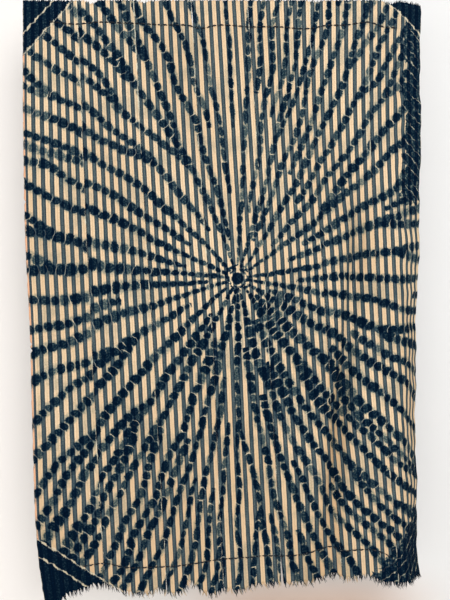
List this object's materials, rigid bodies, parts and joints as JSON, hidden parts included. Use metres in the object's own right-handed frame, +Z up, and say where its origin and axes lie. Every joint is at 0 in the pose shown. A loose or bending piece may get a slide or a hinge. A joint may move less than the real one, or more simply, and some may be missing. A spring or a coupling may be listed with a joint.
{
  "type": "tie-dye wall hanging",
  "caption": "Striped hand-woven cotton cloth with a resist-dyed starburst, hung by its top edge, with raw frayed ends and a curled side.",
  "frame": {"origin": "middle of the woven top edge, in the middle of the cloth's thickness", "axes": "+Z up along the cloth's length, +X across it to the right as seen from the front, -Y out of its front"},
  "size_m": [1.0115, 0.0905, 1.5422],
  "materials": {
    "strip_cloth": "matte plain-weave cotton, cream and blue-grey warp stripes with dark indigo resist dye",
    "loose_yarn": "matte loose cotton yarn, cream and indigo"
  },
  "bodies": {
    "root": {"strip_1": "strip_cloth", "strip_2": "strip_cloth", "strip_3": "strip_cloth", "strip_4": "strip_cloth", "strip_5": "strip_cloth", "strip_6": "strip_cloth", "strip_7": "strip_cloth", "top_fray_1": "loose_yarn", "top_fray_2": "loose_yarn", "top_fray_3": "loose_yarn", "top_fray_4": "loose_yarn", "top_fray_5": "loose_yarn", "top_fray_6": "loose_yarn", "top_fray_7": "loose_yarn", "bottom_fray_1": "loose_yarn", "bottom_fray_2": "loose_yarn", "bottom_fray_3": "loose_yarn", "bottom_fray_4": "loose_yarn", "bottom_fray_5": "loose_yarn", "bottom_fray_6": "loose_yarn", "bottom_fray_7": "loose_yarn"}
  },
  "joints": []
}
